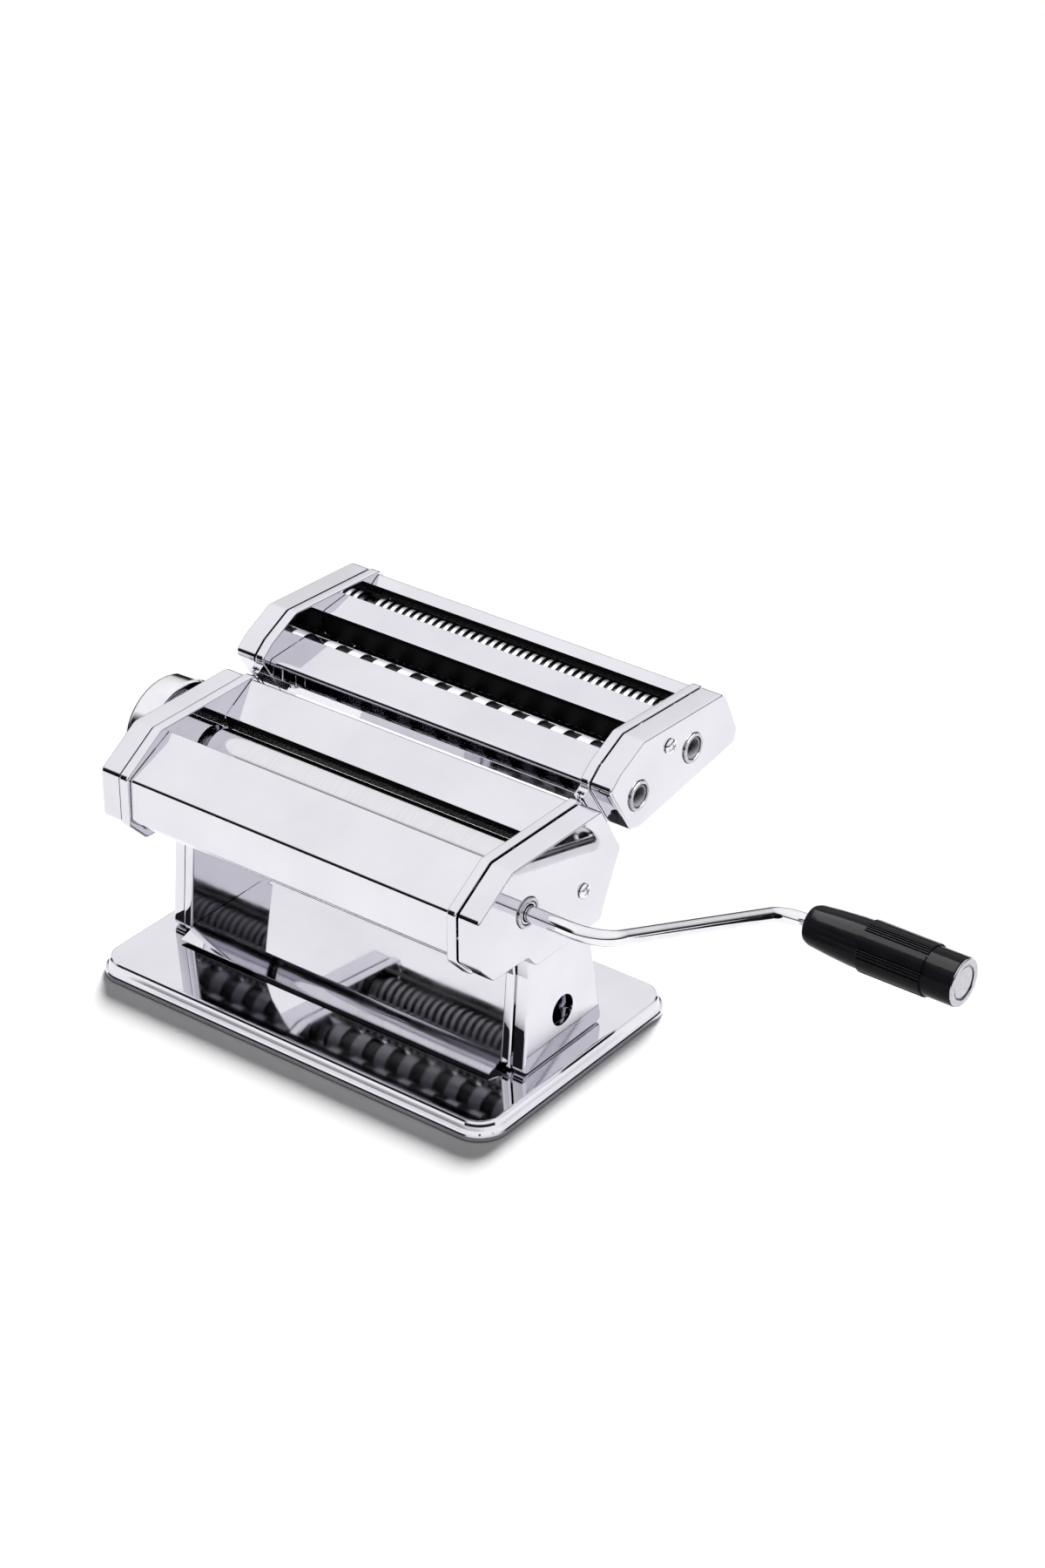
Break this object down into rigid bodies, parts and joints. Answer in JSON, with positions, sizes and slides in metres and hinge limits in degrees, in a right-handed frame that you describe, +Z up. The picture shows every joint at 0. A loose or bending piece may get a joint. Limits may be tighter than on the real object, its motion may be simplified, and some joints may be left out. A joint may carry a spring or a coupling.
{
  "type": "pasta roller machine",
  "caption": "Hand-cranked machine that rolls dough between two steel rollers and cuts it to wide or fine strips in a slide-on cutter head, on a sheet steel base.",
  "frame": {"origin": "bottom centre of the overall box at rest, crank included, level with the feet", "axes": "+X along the rollers towards the crank, +Y to the back where the cutter head is, +Z up"},
  "size_m": [0.3344, 0.1738, 0.1278],
  "materials": {
    "polished_steel": "mirror-polished stainless sheet",
    "ground_steel": "fine ground rollers",
    "chromed_rod": "bright chrome plate",
    "chromed_knob": "bright chrome plate on a moulded knob",
    "zinc_bush": "zinc-plated turned steel",
    "gear_steel": "plain machined steel, lightly oiled",
    "rubber": "matte black",
    "nylon": "moulded black nylon",
    "black_handle": "glossy black, finely ribbed"
  },
  "bodies": {
    "frame": {"base_plate": "polished_steel", "foot_front_left": "rubber", "foot_front_right": "rubber", "foot_rear_left": "rubber", "foot_rear_right": "rubber", "side_frame_left": "polished_steel", "side_frame_right": "polished_steel", "side_cover_left": "polished_steel", "side_cover_right": "polished_steel", "tie_rod_rear": "chromed_rod", "tie_rod_front": "chromed_rod", "cover_screw": "chromed_rod", "front_cover": "polished_steel", "top_cover": "polished_steel", "tray": "polished_steel", "front_scraper": "polished_steel", "front_bush_left": "zinc_bush", "front_bush_right": "zinc_bush", "index_plate": "zinc_bush", "attachment_rail_left": "polished_steel", "attachment_rail_right": "polished_steel"},
    "front_roller": {"front_roller": "ground_steel", "front_gear": "gear_steel"},
    "crank": {"crank_rod": "chromed_rod"},
    "handle": {"handle_grip": "black_handle", "handle_end_cap": "chromed_rod"},
    "carriage": {"rear_bearing_left": "zinc_bush", "rear_bearing_right": "zinc_bush", "rear_scraper": "polished_steel"},
    "rear_roller": {"rear_roller": "ground_steel", "rear_gear": "gear_steel"},
    "adjuster": {"adjuster_shaft": "chromed_rod", "dial_nut": "chromed_rod"},
    "dial": {"dial_knob": "chromed_knob", "dial_spring": "chromed_rod"},
    "cutter_head": {"cutter_frame_left": "polished_steel", "cutter_frame_right": "polished_steel", "cutter_cover_left": "polished_steel", "cutter_cover_right": "polished_steel", "cutter_screw_left": "chromed_rod", "cutter_screw_right": "chromed_rod", "cutter_tie_rod": "chromed_rod", "cutter_front_panel": "polished_steel", "cutter_middle_panel": "polished_steel", "cutter_rear_panel": "polished_steel", "cutter_socket_wide": "zinc_bush", "cutter_socket_fine": "zinc_bush", "wide_comb": "nylon", "fine_comb": "nylon"},
    "wide_front": {"wide_cutter_front": "ground_steel", "wide_gear_front": "gear_steel"},
    "wide_rear": {"wide_cutter_rear": "ground_steel", "wide_gear_rear": "gear_steel"},
    "fine_front": {"fine_cutter_front": "ground_steel", "fine_gear_front": "gear_steel"},
    "fine_rear": {"fine_cutter_rear": "ground_steel", "fine_gear_rear": "gear_steel"}
  },
  "joints": [
    {"name": "front_spin", "type": "hinge", "parent": "frame", "child": "front_roller", "pos_m": [-0.05605, -0.05187, 0.087], "axis": [1, 0, 0], "continuous": true},
    {"name": "crank_pull", "type": "slide", "parent": "front_roller", "child": "crank", "axis": [1, 0, 0], "range_m": [0, 0.035]},
    {"name": "handle_spin", "type": "hinge", "parent": "crank", "child": "handle", "pos_m": [-0.05605, 0.05613, 0.05], "axis": [1, 0, 0], "continuous": true},
    {"name": "dial_turn", "type": "hinge", "parent": "frame", "child": "adjuster", "pos_m": [-0.05605, -0.03007, 0.0862], "axis": [1, 0, 0], "range_deg": [0, 288]},
    {"name": "dial_pull", "type": "slide", "parent": "adjuster", "child": "dial", "axis": [-1, 0, 0], "range_m": [0, 0.003], "stiffness_N_per_m": 900, "deforming": ["dial_spring"]},
    {"name": "rear_open", "type": "slide", "parent": "frame", "child": "carriage", "axis": [0, 1, 0], "range_m": [0, 0.0016]},
    {"name": "rear_spin", "type": "hinge", "parent": "carriage", "child": "rear_roller", "pos_m": [-0.05605, -0.03007, 0.0862], "axis": [1, 0, 0], "continuous": true},
    {"name": "head_slide", "type": "slide", "parent": "frame", "child": "cutter_head", "axis": [0, -0.51, 0.8602], "range_m": [0, 0.035]},
    {"name": "wide_spin", "type": "hinge", "parent": "cutter_head", "child": "wide_front", "pos_m": [-0.05605, 0.01893, 0.1049], "axis": [1, 0, 0], "continuous": true},
    {"name": "wide_mate_spin", "type": "hinge", "parent": "cutter_head", "child": "wide_rear", "pos_m": [-0.05605, 0.03396, 0.10265], "axis": [1, 0, 0], "continuous": true},
    {"name": "fine_spin", "type": "hinge", "parent": "cutter_head", "child": "fine_front", "pos_m": [-0.05605, 0.05503, 0.1098], "axis": [1, 0, 0], "continuous": true},
    {"name": "fine_mate_spin", "type": "hinge", "parent": "cutter_head", "child": "fine_rear", "pos_m": [-0.05605, 0.07006, 0.10755], "axis": [1, 0, 0], "continuous": true}
  ],
  "couplings": [
    {"joint": "rear_open", "follows": "dial_turn", "m_per_rad": 0.000318},
    {"joint": "rear_spin", "follows": "front_spin", "ratio": -1},
    {"joint": "wide_mate_spin", "follows": "wide_spin", "ratio": -1},
    {"joint": "fine_mate_spin", "follows": "fine_spin", "ratio": -1}
  ]
}
